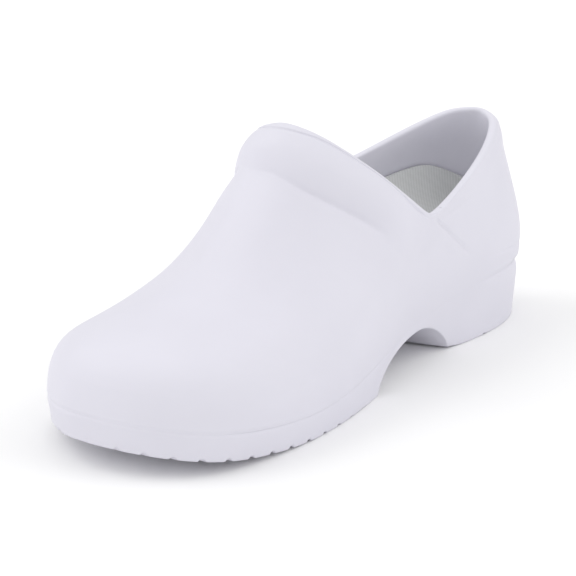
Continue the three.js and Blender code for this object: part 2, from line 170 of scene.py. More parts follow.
def fading(value, size, start, end):
    return size * (1 - smoothstep(value, start, end))


def swelling(value, size, centre, width):
    return size * bump_of(value, centre, width)


def blend_along(x, heel, fore, rear, front):
    return heel + (fore - heel) * smoothstep(x / LENGTH, rear, front)


def spring_at(x):
    share = np.clip((x - LENGTH + SPRING_LENGTH) / SPRING_LENGTH, 0, 1)
    return TOE_SPRING * share ** SPRING_CURVE


def plain_edge(x):
    return spring_at(x) + blend_along(x, HEEL_EDGE, FORE_EDGE, *EDGE_BLEND)


def edge_height(x):
    return plain_edge(x) - fading(x, *HEEL_DROP)


def seat_height(x):
    return plain_edge(x) + blend_along(x, HEEL_CORE, FORE_CORE, *CORE_BLEND)


def width_at(x):
    return blend_along(x, HEEL_WIDTH, BALL_WIDTH, *WIDTH_BLEND)


def dish_at(x):
    return blend_along(x, HEEL_DISH, FORE_DISH, *DISH_BLEND)


def insole_edge(x):
    climb = smoothstep(np.sqrt(np.clip(x / LENGTH, 0, 1)), *CUP_CLIMB)
    cup = INSOLE_BACK + (INSOLE_CUP - INSOLE_BACK) * climb
    return cup + (INSOLE_LIP - cup) * smoothstep(x / LENGTH, *CUP_FALL)


def soft_max(a, b, radius):
    top = np.maximum(a, b)
    return top + radius * np.log(np.exp((a - top) / radius) + np.exp((b - top) / radius))


def collar_height(share):
    """Height of the collar at a share of the opening's length: quarter, notch and the instep's slope."""
    front = (share - NOTCH_ALONG) / (1 - NOTCH_ALONG)
    bow = 1 - INSTEP_CAMBER + INSTEP_CAMBER * np.abs(front)
    instep = NOTCH_HEIGHT + (INSTEP_HEIGHT - NOTCH_HEIGHT) * front * bow
    back = np.clip(1 - share / NOTCH_ALONG, 0, 1)
    climb = (COUNTER_HEIGHT - NOTCH_HEIGHT) * QUARTER_CLIMB * back ** QUARTER_CURVE
    quarter = -soft_max(-(NOTCH_HEIGHT + climb), -COUNTER_HEIGHT, COUNTER_ROUND)
    return soft_max(instep, quarter, NOTCH_ROUND)


def closed_spline(values):
    """A smooth closed curve through evenly spaced values, read by share of the way round."""
    values = np.asarray(values, float)
    n = len(values)
    weights = 4 * np.eye(n) + np.roll(np.eye(n), 1, 0) + np.roll(np.eye(n), -1, 0)
    turn = np.roll(values, 1) - 2 * values + np.roll(values, -1)
    bend = np.linalg.solve(weights, 6 * turn)

    def at(share):
        place = np.mod(share, 1) * n
        i = np.floor(place).astype(int) % n
        j = (i + 1) % n
        b = place - np.floor(place)
        a = 1 - b
        return a * values[i] + b * values[j] + ((a**3 - a) * bend[i] + (b**3 - b) * bend[j]) / 6

    return at


def around(inner, outer):
    return closed_spline(np.concatenate([inner, outer[1:-1][::-1]]))


# Shares of the way round run from the toe (0) along the inner side to the heel (0.5) and back
foot_share = around(OUTLINE[:, 0], OUTLINE[:, 0])
foot_y = around(
    OUTLINE[:, 1] * width_at(OUTLINE[:, 0] * LENGTH),
    -OUTLINE[:, 2] * width_at(OUTLINE[:, 0] * LENGTH),
)
collar_share = around(COLLAR[:, 0], COLLAR[:, 0])
collar_half = around(COLLAR[:, 1] * OPENING_WIDTH / 2, -COLLAR[:, 1] * OPENING_WIDTH / 2)
rib_value = [around(RIBS[:, k], RIBS[:, k]) for k in range(RIBS.shape[1])]


def foot_x(share):
    return foot_share(share) * LENGTH


def outward(share):
    """Level direction square to the outline, away from the foot."""
    step = 0.001
    dx = foot_x(share + step) - foot_x(share - step)
    dy = foot_y(share + step) - foot_y(share - step)
    size = np.hypot(dx, dy)
    return np.stack([dy / size, -dx / size, np.zeros_like(dx)], -1)


def spline_weights(count):
    """Weights of a rib's eight steps at even places along it, as a cubic spline has them."""
    knots = [0, 0, 0, 0, 1, 2, 3, 4, 5, 5, 5, 5]
    spans = len(knots) - 1
    u = np.linspace(0, knots[-1], count)
    # The last place stays just inside the last span
    u[-1] -= 1e-9
    weights = np.zeros((count, spans))
    for k in range(spans):
        weights[:, k] = (u >= knots[k]) & (u < knots[k + 1])
    for degree in (1, 2, 3):
        fresh = np.zeros((count, spans - degree))
        for k in range(spans - degree):
            left = knots[k + degree] - knots[k]
            right = knots[k + degree + 1] - knots[k + 1]
            if left:
                fresh[:, k] += (u - knots[k]) / left * weights[:, k]
            if right:
                fresh[:, k] += (knots[k + degree + 1] - u) / right * weights[:, k + 1]
        weights = fresh
    return weights


RIB_SAMPLES = 260
RIB_WEIGHTS = spline_weights(RIB_SAMPLES)


class Ribs:
    """The ribs of the last at given shares of the way round, read by distance from the sole's edge.

    Their rearward value is 0 at the toe and 1 at the heel.
    """

    def __init__(self, shares):
        self.shares = shares
        self.out = outward(shares)
        x = foot_x(shares)
        self.x = x
        base = np.stack([x, foot_y(shares), edge_height(x)], -1) + self.out * SIDE_FLARE
        across = collar_share(shares)
        top = np.stack([
            COLLAR_SETBACK + across * OPENING_LENGTH,
            collar_half(shares),
            collar_height(across) - swelling(shares, *COLLAR_DIP),
        ], -1)
        value = [column(shares) for column in rib_value]
        none = np.zeros_like(shares)
        full = none + 1
        near = none + NEAR_BULGE
        steps = [
            (none, none, none),
            (none, value[1] / 2, near),
            (none, value[1], full),
            (value[2], value[3], near),
            (value[4], value[5], none),
            (value[6], value[7], none),
            (value[8], value[9], none),
            (full, full, none),
        ]
        controls = []
        for lean, rise, swell in steps:
            point = base + (top - base) * lean[:, None]
            point = point + self.out * (swell * value[0] * BULGE)[:, None]
            point[:, 2] = base[:, 2] + (top[:, 2] - base[:, 2]) * rise
            controls.append(point)
        self.points = np.einsum("mk,knc->nmc", RIB_WEIGHTS, np.stack(controls))
        steps_long = np.linalg.norm(np.diff(self.points, axis=1), axis=2)
        self.run = np.concatenate([np.zeros((len(shares), 1)), np.cumsum(steps_long, 1)], 1)
        self.length = self.run[:, -1]
        self.rearward = np.minimum(shares, 1 - shares) * 2

    def at(self, distance):
        """Points for rows of distances, one column per rib."""
        out = np.empty(distance.shape + (3,))
        for i in range(distance.shape[1]):
            for axis in range(3):
                out[:, i, axis] = np.interp(distance[:, i], self.run[i], self.points[i, :, axis])
        return out

    def reach(self, height):
        """Distance along each rib to its height."""
        return np.array([
            np.interp(height[i], self.points[i, :, 2], self.run[i]) for i in range(len(height))
        ])


def grid_normals(grid):
    up = np.gradient(grid, axis=0)
    across = np.roll(grid, -1, 1) - np.roll(grid, 1, 1)
    normal = np.cross(across, up)
    return normal / np.linalg.norm(normal, axis=2, keepdims=True)


def polyline_distance(points, line):
    """Distance of points from a polyline, and the share of its length at the nearest place."""
    best = np.full(points.shape[:-1], np.inf)
    share = np.zeros(points.shape[:-1])
    line = np.asarray(line, float)
    legs = np.linalg.norm(np.diff(line, axis=0), axis=1)
    total = legs.sum()
    done = 0.0
    for a, b, leg in zip(line[:-1], line[1:], legs):
        t = np.clip(((points - a) @ (b - a)) / leg**2, 0, 1)
        away = np.linalg.norm(points - (a + t[..., None] * (b - a)), axis=-1)
        nearer = away < best
        best = np.where(nearer, away, best)
        share = np.where(nearer, (done + t * leg) / total, share)
        done += leg
    return best, share


class Shell:
    """Rings of points with one point per column, joined by bands and closed by ladders."""

    def __init__(self, columns):
        self.columns = columns
        self.points = []
        self.count = 0
        self.faces = []
        self.sharp = []

    def ring(self, points):
        first = self.count
        self.points.append(np.asarray(points, float))
        self.count += len(points)
        return first + np.arange(len(points))

    def rings(self, grid):
        return [self.ring(row) for row in grid]

    def band(self, lower, upper):
        faces = np.stack([lower, np.roll(lower, -1), np.roll(upper, -1), upper], 1)
        self.faces.extend(faces.tolist())

    def bands(self, rings):
        for low, high in zip(rings[:-1], rings[1:]):
            self.band(low, high)

    def crease(self, ring):
        self.sharp.extend(zip(ring.tolist(), np.roll(ring, -1).tolist()))

    def ladder(self, ring, grid, face_up):
        """Closes a ring by rows from its inner to its outer side. The grid has the points between them."""
        half = self.columns // 2
        rows = [[ring[0]] * (grid.shape[1] + 2)]
        for i in range(1, half):
            between = self.ring(grid[i - 1])
            rows.append([ring[i], *between, ring[self.columns - i]])
        rows.append([ring[half]] * (grid.shape[1] + 2))
        for last, following in zip(rows[:-1], rows[1:]):
            for k in range(grid.shape[1] + 1):
                quad = [last[k], following[k], following[k + 1], last[k + 1]]
                face = list(dict.fromkeys(int(v) for v in quad))
                if len(face) > 2:
                    self.faces.append(face if face_up else face[::-1])

    def make(self, name):
        points = (np.concatenate(self.points) + SHIFT) / MM_PER_METRE
        mesh = bpy.data.meshes.new(name)
        mesh.from_pydata(points.tolist(), [], self.faces)
        mesh.polygons.foreach_set("use_smooth", [True] * len(mesh.polygons))
        if self.sharp:
            wanted = {tuple(sorted(pair)) for pair in self.sharp}
            for edge in mesh.edges:
                if tuple(sorted(edge.vertices)) in wanted:
                    edge.use_edge_sharp = True
        mesh.validate()
        mesh.update()
        piece = bpy.data.objects.new(name, mesh)
        bpy.context.scene.collection.objects.link(piece)
        return piece


# Upper

# The parting line between upper and sole: a deep groove round the back of the heel, a line along its sides,
# nothing at the waist, and a fine line round the forefoot. Each has its depth and the stations of its fade.
PARTING_BACK = (1.0, 20, 36)
PARTING_SIDES = (0.36, 42, 62)
PARTING_BALL = (0.14, 118, 160)
PARTING_TOE = (0.26, 200, 245)
# Its half width, and what is added to it at the back and along the sides of the heel
PARTING_WIDTH = 0.75
PARTING_WIDER_BACK = (0.9, 22, 40)
PARTING_WIDER_SIDES = (0.3, 50, 70)


def parting_dip(x, away):
    """Offset of the surface at a distance from the parting line."""
    heel = fading(x, *PARTING_BACK) + fading(x, *PARTING_SIDES)
    fore = growing(x, *PARTING_BALL) + growing(x, *PARTING_TOE)
    width = PARTING_WIDTH + fading(x, *PARTING_WIDER_BACK) + fading(x, *PARTING_WIDER_SIDES)
    return -(heel + fore) * bump_of(away, 0, width)


# The roll over the instep and its crease. Fades go by the ribs' rearward value, or where the two sides
# differ, by that value on the inner or the outer side alone.
ROLL_END = (1, 0.36, 0.52)
# Where the crease is crisp, and how crisp it is in front
CRISP_END = (1, 0.33, 0.45)
CRISP_INNER = (-0.05, 0.12)
CRISP_OUTER = (0.14, 0.28)
CRISP_FRONT = 0.25
# The roll's width in units of its spread: wider on the inner side, narrower at that crease's end and outside
WIDER_INNER = (1, 0, 0.2)
NARROWER_INNER = (0.9, 0.2, 0.42)
NARROWER_OUTER = (1.2, 0.04, 0.28)
# Section of the roll, by share of its width: the end of its swell, of its soft form and of its crisp form
ROLL_FULL = 0.5
SOFT_END = (0.50, 1.15)
CRISP_START = 0.45
CRISP_RUN = 0.57
CREASE_ALONG = 1.02
CREASE_DEPTH = 0.4
CREASE_WIDTH = 1.3
CREASE_FRONT = 0.35
CREASE_BACK = (0.04, 0.2)
# In front of the roll the outer side is fuller, and then flatter down to the toe: size, distance from the
# collar and width, and where it starts and ends
VAMP_FULL = (1.0, 28, 11)
VAMP_FLAT = (0.7, 64, 17)
VAMP_START = (1, 0.02, 0.12)
VAMP_END = (1, 0.35, 0.5)


def roll_offset(ribs, from_collar):
    """How far the roll and the outer vamp stand out. The roll and its crease fade out near the notch."""
    inward = ribs.rearward * np.where(ribs.shares < 0.5, 1, -1)
    sides = np.maximum(smoothstep(inward, *CRISP_INNER), smoothstep(-inward, *CRISP_OUTER))
    crisp = fading(ribs.rearward, *CRISP_END) * (CRISP_FRONT + (1 - CRISP_FRONT) * sides)
    spread = growing(inward, *WIDER_INNER) - growing(inward, *NARROWER_INNER)
    spread = spread - growing(-inward, *NARROWER_OUTER)
    width = ROLL_WIDTH + ROLL_SPREAD * spread
    share = from_collar / width
    swell = np.sqrt(np.sin(np.pi / 2 * np.clip(share / ROLL_FULL, 0, 1)))
    soft = 1 - smoothstep(share, *SOFT_END)
    arc = 1 - np.clip((share - CRISP_START) / CRISP_RUN, 0, 1) ** 2
    strength = CREASE_FRONT + (1 - CREASE_FRONT) * smoothstep(ribs.rearward, *CREASE_BACK)
    crease = bump_of(from_collar, width * CREASE_ALONG, CREASE_WIDTH) * strength
    form = ROLL_RISE * swell * (soft + (arc - soft) * crisp) - CREASE_DEPTH * crisp * crease
    roll = fading(ribs.rearward, *ROLL_END) * form
    outer_front = growing(-inward, *VAMP_START) * fading(-inward, *VAMP_END)
    return roll + outer_front * (swelling(from_collar, *VAMP_FULL) - swelling(from_collar, *VAMP_FLAT))


# A second line above the groove of the heel. It rises forward a little along the sides, up to a station.
SECOND_LINE_HEIGHT = 32.9
SECOND_LINE_SLOPE = 0.085
SECOND_LINE_TURN = 42
SECOND_LINE_DEPTH = 0.32
SECOND_LINE_WIDTH = 0.8
SECOND_LINE_END = (1, 30, 56)

# Lines on each side of the upper as stations and heights: the edge of the vamp, which runs down from the
# notch towards the heel seat, and a faint line under the quarter's collar. They fade at both ends.
SIDE_LINES = [
    {
        "path": [(103.6, 66.0), (95.3, 60.6), (86.0, 55.2), (78.8, 50.0), (73.8, 45.9), (67.0, 40.0)],
        "depth": 0.50,
        "width": 0.85,
        "start": (0.02, 0.2),
        "end": (0.8, 1.0),
    },
    {
        "path": [(98.0, 61.5), (82.0, 62.2), (67.0, 63.4), (57.0, 65.5)],
        "depth": 0.20,
        "width": 1.2,
        "start": (0.0, 0.3),
        "end": (0.7, 1.0),
    },
]

# A slim lip along the collar's edge: its width, how much narrower it is behind the instep, and where it ends
LIP_WIDTH = 3.0
LIP_NARROWER = (1.6, 0.02, 0.22)
LIP_END = (1, 0.48, 0.56)
LIP_GROOVE_DEPTH = 0.42
LIP_GROOVE_WIDTH = 0.45
LIP_BEAD = 0.26
LIP_STEP = 0.6

# The rim's outer corner, and how much rounder and thicker the rim gets towards the back of the heel
OUTER_ROUND = 0.5
HEEL_RIM = (0.66, 0.94)
HEEL_OUTER_ROUND = 2.6
HEEL_INNER_ROUND = 0.6
HEEL_WALL = 1.7
# A soft bead under the rim there: how far it stands out, its distance from the rim and its width
HEEL_BEAD = 0.5
HEEL_BEAD_DROP = 6.5
HEEL_BEAD_WIDTH = 3.5
# Steps round the rim's outer corner, as shares of its turn, and round its inner corner, in degrees
OUTER_TURNS = (0.2, 0.4, 0.6, 0.8, 1.0)
INNER_TURNS = (90, 60, 30, 0)

# Columns of the upper, crowded beside the notches, where fine lines cross the ribs
COLUMNS = 560
SHARE_SAMPLES = 20001
CROWDING = 1.3
CROWDED_AT = 0.31
CROWDED_WIDTH = 0.05

# Rows of the upper as distances above the parting line, and below the collar, where they are closer together
# at the crease and at the lip
LOW_ROWS = np.arange(0, 13, 0.45)
BODY_ROWS = 36
ROLL_MARGIN = 1.4
COLLAR_ROWS = np.concatenate([
    np.arange(27, 24, -1.0),
    np.arange(24, 16, -0.5),
    np.arange(16, 6, -0.9),
    np.arange(6, 2.1, -0.45),
    np.arange(2.1, 0.1, -0.3),
    [0.0],
])

# Rows of the inner face between the rim and the insole, the gap under the rim, and where the wall thickens
INNER_ROWS = 16
BROW_GAP = 0.4
THICKENING = (0.35, 1.0)


def upper_shares():
    fine = np.linspace(0, 1, SHARE_SAMPLES)
    near = bump_of(np.minimum(fine, 1 - fine), CROWDED_AT, CROWDED_WIDTH)
    run = np.concatenate([[0], np.cumsum(1 + CROWDING * (near[1:] + near[:-1]) / 2)])
    return np.interp(np.arange(COLUMNS) / COLUMNS, run / run[-1], fine)


def upper_rows(length):
    """Distances of the outer rows along the ribs."""
    rows = [np.full(COLUMNS, d) for d in LOW_ROWS]
    below_roll = length - ROLL_WIDTH * ROLL_MARGIN
    for step in np.linspace(0, 1, BODY_ROWS)[1:]:
        rows.append(LOW_ROWS[-1] + (below_roll - LOW_ROWS[-1]) * step)
    for back in COLLAR_ROWS:
        rows.append(length - back)
    return np.array(rows)


def upper_lines(grid):
    """Offset of the second heel line and of the lines on both sides."""
    x = grid[..., 0]
    level = SECOND_LINE_HEIGHT + SECOND_LINE_SLOPE * np.minimum(x, SECOND_LINE_TURN)
    dip = swelling(grid[..., 2], SECOND_LINE_DEPTH, level, SECOND_LINE_WIDTH) * fading(x, *SECOND_LINE_END)
    for side in (1, -1):
        on_side = (grid[..., 1] * side > 0).astype(float)
        for line in SIDE_LINES:
            away, along = polyline_distance(grid[..., ::2], line["path"])
            fade = smoothstep(along, *line["start"]) * (1 - smoothstep(along, *line["end"]))
            dip = dip + line["depth"] * bump_of(away, 0, line["width"]) * fade * on_side
    return -dip


def lip_offset(ribs, back):
    """Offset of the lip, by distance back from the collar's edge."""
    width = LIP_WIDTH - growing(ribs.rearward, *LIP_NARROWER)
    groove = LIP_GROOVE_DEPTH * bump_of(back, width, LIP_GROOVE_WIDTH)
    bead = LIP_BEAD * (1 - smoothstep(back, width - LIP_STEP, width))
    return (bead - groove) * fading(ribs.rearward, *LIP_END)


def build_upper():
    ribs = Ribs(upper_shares())
    length = ribs.length
    distance = upper_rows(length)
    back = length - distance
    grid = ribs.at(distance)
    normal = grid_normals(grid)
    offset = roll_offset(ribs, back) + parting_dip(grid[..., 0], distance)
    offset = offset + upper_lines(grid) + lip_offset(ribs, back)

    # The last rows turn in to the rim
    heelward = smoothstep(ribs.rearward, *HEEL_RIM)
    outer_round = OUTER_ROUND + HEEL_OUTER_ROUND * heelward
    over = np.clip(outer_round - RIM_ROUND - back, 0, None)
    offset = offset - (outer_round - np.sqrt(outer_round**2 - over**2))
    offset = offset + HEEL_BEAD * heelward * bump_of(back, HEEL_BEAD_DROP, HEEL_BEAD_WIDTH)
    shell = Shell(COLUMNS)
    outer = shell.rings(grid + normal * offset[..., None])
    shell.crease(outer[0])

    # Rim, from its outer to its inner corner
    up = grid[-1] - grid[-3]
    up /= np.linalg.norm(up, axis=1, keepdims=True)
    rim = []
    wall = WALL + HEEL_WALL * heelward
    inner_round = RIM_ROUND + HEEL_INNER_ROUND * heelward
    first = np.arcsin(np.clip((outer_round - RIM_ROUND) / outer_round, 0, 1))
    for step in OUTER_TURNS:
        angle = first + (np.pi / 2 - first) * step
        inset = outer_round * (1 - np.cos(angle))
        lift = outer_round * np.sin(angle) - outer_round + RIM_ROUND
        point = grid[-1] - normal[-1] * inset[:, None] + up * lift[:, None]
        rim.append(shell.ring(point))
    for turn in INNER_TURNS:
        angle = math.radians(turn)
        inset = wall - inner_round * (1 - math.cos(angle))
        lift = RIM_ROUND - inner_round * (1 - math.sin(angle))
        point = grid[-1] - normal[-1] * inset[:, None] + up * lift[:, None]
        rim.append(shell.ring(point))

    # Inner face, down to the insole and behind it to the sole's edge
    seat = ribs.reach(seat_height(ribs.x))
    bed = seat + GAP + insole_edge(ribs.x)
    brow = length - inner_round - BROW_GAP
    inner_rows = [bed + (brow - bed) * step for step in np.linspace(1, 0, INNER_ROWS)]
    inner_rows += [seat * step for step in (1, 0.5, 0)]
    inner_grid = ribs.at(np.array(inner_rows))
    inner_normal = -grid_normals(inner_grid)
    height_share = np.linspace(1, 0, len(inner_rows))
    thick = WALL + (wall - WALL) * smoothstep(height_share, *THICKENING)[:, None]
    inner = shell.rings(inner_grid - inner_normal * thick[..., None])
    rings = outer + rim + inner
    shell.bands(rings)
    shell.band(rings[-1], rings[0])
    shell.crease(inner[-1])
    return shell.make("clog_upper")


# Sole

# The arch in side view is two curves that meet at its top: where the top is, how far each curve leans at its
# foot and reaches along at the top, and how high its middle points are, as shares of the rise.
ARCH_TOP = 0.42
REAR_LEAN = 4.0
REAR_LIFT = 0.5
REAR_REACH = 12.0
FORE_REACH = 13.0
FORE_LIFT = 0.98
FORE_LEAN = 1.8
FORE_DROP = 0.74
ARCH_SAMPLES = 60
# The breast's lower corner is worn round: rise, station and width
WORN_CORNER = (1.1, HEEL_BLOCK + 1, 6)


def arch_height(x):
    """Height of the arch's underside over the plain sole, by station from the heel."""
    end = HEEL_BLOCK + ARCH_LENGTH
    top = HEEL_BLOCK + ARCH_LENGTH * ARCH_TOP
    rear = [
        (HEEL_BLOCK, 0),
        (HEEL_BLOCK + REAR_LEAN, ARCH_RISE * REAR_LIFT),
        (top - REAR_REACH, ARCH_RISE),
        (top, ARCH_RISE),
    ]
    fore = [
        (top, ARCH_RISE),
        (top + FORE_REACH, ARCH_RISE * FORE_LIFT),
        (end - FORE_LEAN, ARCH_RISE * FORE_DROP),
        (end, 0),
    ]
    t = np.linspace(0, 1, ARCH_SAMPLES)[:, None]
    curve = []
    for points in (rear, fore):
        a, b, c, d = (np.array(p, float) for p in points)
        curve.append((1 - t) ** 3 * a + 3 * (1 - t) ** 2 * t * b + 3 * (1 - t) * t**2 * c + t**3 * d)
    curve = np.concatenate(curve)
    worn = swelling(x, *WORN_CORNER) * (np.asarray(x) < WORN_CORNER[1])
    return np.maximum(np.interp(x, curve[:, 0], curve[:, 1], left=0, right=0), worn)


# The tread: small notches where its grooves come out at the edge, by distance round the edge from the toe,
# one more on each side of the heel, by its station, and cross grooves in a field inside a plain border
TREAD_PITCH = 10.4
NOTCH_START = 15.7
NOTCH_FORE_END = 9
HEEL_NOTCH = 51.6
NOTCH_SLOPE = (0.5, 1.8)
# Depth of the notches and the stations of its fades: at the heel, at the ball and at the toe
HEEL_NOTCH_DEPTH = (0.6, 60, 90)
BALL_NOTCH_DEPTH = (0.3, 90, 140)
TOE_NOTCH_DEPTH = (0.8, 160, 200)
GROOVE_DEPTH = 1.8
GROOVE_SLOPE = (1.5, 2.2)
GROOVE_BACK_END = 14
GROOVE_TOE_MARGIN = 22
BORDER = 6.5
NOTCH_RUN = (BORDER - 1.2, BORDER - 0.4)
FIELD_EDGE = (BORDER + 1.2, BORDER + 2.0)
FIELD_BACK = (10, 14)
FIELD_FRONT = (LENGTH - 14, LENGTH - 10)
# The heel's breast bows forward between its two corners: bow, and the stations where it starts and ends
BREAST_BOW = 6.3
BOW_BACK = (HEEL_BLOCK - 8, HEEL_BLOCK)
BOW_FRONT = (HEEL_BLOCK + 8, HEEL_BLOCK + 40)
# The side wall draws in towards the floor round the heel and at the breast
HEEL_TAPER = (0.5, 20, 60)
BREAST_TAPER = (1.2, HEEL_BLOCK, 9)
EDGE_RADIUS = 0.8
EDGE_TURNS = (15, 30, 45, 60, 75, 90)

# Stations of the sole's columns: even ones, and more at the notches, the grooves and the arch's corners
EVEN_STATIONS = 190
NOTCH_STEPS = (-2.2, -1.8, -1.4, -1.0, -0.4, 0.4, 1.0, 1.4, 1.8, 2.2)
GROOVE_STEPS = (-2.2, -1.85, -1.5, 1.5, 1.85, 2.2)
CORNER_STEPS = (-1, -0.4, -0.1, 0, 0.15, 0.4, 0.8, 1.4)
LEAST_STEP = 0.12

# Rows of the side wall, as drops below the parting line, then even ones
PARTING_DROPS = (0.25, 0.5, 0.8, 1.15, 1.6, 2.2)
WALL_ROWS = 9
LEDGE_DROP = 0.05
RIM_DROP = 0.02

# Rungs of the underside: insets from both edges, the share of the width that they may take, and the rungs of
# the field between them
INSETS = np.array([1.5, 3.5, *NOTCH_RUN, *FIELD_EDGE])
INSET_SHARE = 0.44
FIELD_RUNGS = 12
# Rows of the core's side as shares of its height, and rungs over its top
CORE_STEPS = (1, 0.6, 0.2, 0.0)
CORE_RUNGS = 16


def outline_arc(shares):
    """Distance round the bottom outline from the toe, on the side that the shares are on."""
    steps = np.stack([foot_x(shares), foot_y(shares)], -1)
    return np.concatenate([[0], np.cumsum(np.linalg.norm(np.diff(steps, axis=0), axis=1))])


# Fine shares down one side, their stations, and how far round the edge they are on each side
DENSE = np.linspace(0, 0.5, 12001)
DENSE_X = foot_x(DENSE)
ARCS = {1: outline_arc(DENSE), -1: outline_arc(1 - DENSE)}


def notch_centres(side):
    """Distances round one side from the toe where a tread groove comes out at the edge."""
    fore_end = np.interp(HEEL_BLOCK + ARCH_LENGTH + NOTCH_FORE_END, DENSE_X[::-1], ARCS[side][::-1])
    heel = np.interp(HEEL_NOTCH, DENSE_X[::-1], ARCS[side][::-1])
    return np.append(np.arange(NOTCH_START, fore_end, TREAD_PITCH), heel)


def notch_height(arc, side):
    """Height of the notches' floors over the plain edge, by distance round it."""
    height = np.zeros_like(arc)
    for centre in notch_centres(side):
        height = np.maximum(height, 1 - smoothstep(np.abs(arc - centre), *NOTCH_SLOPE))
    x = np.interp(arc, ARCS[side], DENSE_X)
    deep = fading(x, *HEEL_NOTCH_DEPTH) + growing(x, *BALL_NOTCH_DEPTH) + growing(x, *TOE_NOTCH_DEPTH)
    return height * deep


def groove_centres():
    fore = np.arange(HEEL_BLOCK + ARCH_LENGTH + TREAD_PITCH, LENGTH - GROOVE_TOE_MARGIN, TREAD_PITCH)
    heel = np.arange(HEEL_BLOCK - TREAD_PITCH, GROOVE_BACK_END, -TREAD_PITCH)
    return np.concatenate([heel[::-1], fore])


def groove_height(x):
    """Height of the cross grooves' floors over the tread."""
    height = np.zeros_like(x)
    for centre in groove_centres():
        height = np.maximum(height, fading(np.abs(x - centre), GROOVE_DEPTH, *GROOVE_SLOPE))
    return height


def sole_shares():
    """Shares at stations that are the same on both sides."""
    stations = [np.interp(s, DENSE, DENSE_X) for s in np.linspace(0, 0.5, EVEN_STATIONS)]
    for side in (1, -1):
        for centre in notch_centres(side):
            for away in NOTCH_STEPS:
                stations.append(np.interp(centre + away, ARCS[side], DENSE_X))
    for centre in groove_centres():
        stations += [centre + d for d in GROOVE_STEPS]
    for corner in (HEEL_BLOCK, HEEL_BLOCK + ARCH_LENGTH):
        stations += [corner + d for d in CORNER_STEPS]
    stations = np.sort([v for v in stations if DENSE_X[-1] <= v <= DENSE_X[0]])
    kept = [stations[0]]
    for v in stations[1:]:
        if v - kept[-1] > LEAST_STEP:
            kept.append(v)
    kept[-1] = stations[-1]
    shares = np.interp(kept[::-1], DENSE_X[::-1], DENSE[::-1])
    shares[0] = 0
    shares[-1] = 0.5
    return np.concatenate([shares, 1 - shares[-2:0:-1]])


def underside(near, far, notch_near, notch_far):
    """Points between the two edges: a border with the notches, then a field of cross grooves inside it."""
    width = np.linalg.norm(far - near, axis=1)
    count = len(INSETS)
    most = INSET_SHARE * np.arange(1, count + 1)[None] / count
    fitted = np.minimum(INSETS[None] / width[:, None], most)
    inside = 0.5 + (fitted[:, -1:] - 0.5) * np.linspace(1, -1, FIELD_RUNGS)[None, 1:-1]
    rungs = np.concatenate([fitted, inside, 1 - fitted[:, ::-1]], 1)
    field = near[:, None] + (far - near)[:, None] * rungs[..., None]
    at = field[..., 0]
    from_near = rungs * width[:, None]
    from_far = (1 - rungs) * width[:, None]
    edge = notch_near[:, None] * (1 - smoothstep(from_near, *NOTCH_RUN))
    edge = edge + notch_far[:, None] * (1 - smoothstep(from_far, *NOTCH_RUN))
    deep = smoothstep(np.minimum(from_near, from_far), *FIELD_EDGE)
    ends = smoothstep(at, *FIELD_BACK) * (1 - smoothstep(at, *FIELD_FRONT))
    bow = smoothstep(at, *BOW_BACK) * (1 - smoothstep(at, *BOW_FRONT))
    field[..., 2] = spring_at(at) + arch_height(at) + edge + groove_height(at) * deep * ends
    field[..., 0] += BREAST_BOW * bow * 4 * rungs * (1 - rungs)
    return field


def build_sole():
    shares = sole_shares()
    ribs = Ribs(shares)
    columns = len(shares)
    half = columns // 2
    shell = Shell(columns)
    x = ribs.x
    foot = np.stack([x, foot_y(shares), spring_at(x)], -1)
    out = ribs.out
    rim_z = edge_height(x)
    plain = spring_at(x)
    inner_side = notch_height(np.interp(shares[:half + 1], DENSE, ARCS[1]), 1)
    outer_side = notch_height(np.interp(shares[1:half][::-1], DENSE, ARCS[-1]), -1)
    notch = np.concatenate([inner_side, outer_side])
    bottom = plain + arch_height(x) + notch

    def wall_point(z, inset=0.0):
        share = np.clip((z - plain) / (rim_z - plain), 0, 1)
        taper = (1 - share) * (fading(x, *HEEL_TAPER) + swelling(x, *BREAST_TAPER))
        point = foot + out * (SIDE_FLARE * share - taper - inset)[:, None]
        point[:, 2] = z
        return point

    # Core under the insole and ledge under the upper's wall
    seat = ribs.reach(seat_height(x))
    inner_grid = ribs.at(np.array([seat * step for step in CORE_STEPS]))
    inner = inner_grid + grid_normals(inner_grid) * (WALL + GAP)
    core = shell.rings(inner[:-1])
    ledge_points = inner[-1].copy()
    ledge_points[:, 2] = rim_z - LEDGE_DROP
    ledge = shell.ring(ledge_points)
    rim_points = wall_point(rim_z - RIM_DROP) + out * parting_dip(x, 0)[:, None]
    rim = shell.ring(rim_points)
    shell.crease(rim)

    # Side wall down to the rounded bottom edge
    side = []
    for drop in PARTING_DROPS:
        side.append(wall_point(rim_z - drop) + out * parting_dip(x, drop)[:, None])
    fall = rim_z - bottom - EDGE_RADIUS - PARTING_DROPS[-1]
    for share in np.linspace(0, 1, WALL_ROWS)[1:]:
        side.append(wall_point(rim_z - PARTING_DROPS[-1] - fall * share))
    for turn in EDGE_TURNS:
        angle = math.radians(turn)
        z = bottom + EDGE_RADIUS * (1 - math.sin(angle))
        side.append(wall_point(z, EDGE_RADIUS * (1 - math.cos(angle))))
    under_points = side[-1]
    side = [shell.ring(row) for row in side]
    shell.bands(side[::-1] + [rim, ledge] + core[::-1])
    field = underside(under_points[1:half], under_points[:half:-1], notch[1:half], notch[:half:-1])
    shell.ladder(side[-1], field, face_up=False)

    # Top of the core, dished
    a = inner[0][1:half][:, None]
    b = inner[0][:half:-1][:, None]
    share = np.linspace(0, 1, CORE_RUNGS)[1:-1]
    top = a + (b - a) * share[:, None]
    top[..., 2] -= dish_at(top[..., 0]) * 4 * share * (1 - share)
    shell.ladder(core[0], top, face_up=True)
    return shell.make("clog_sole")


# Insole

INSOLE_COLUMNS = 320
INSOLE_RUNGS = 46
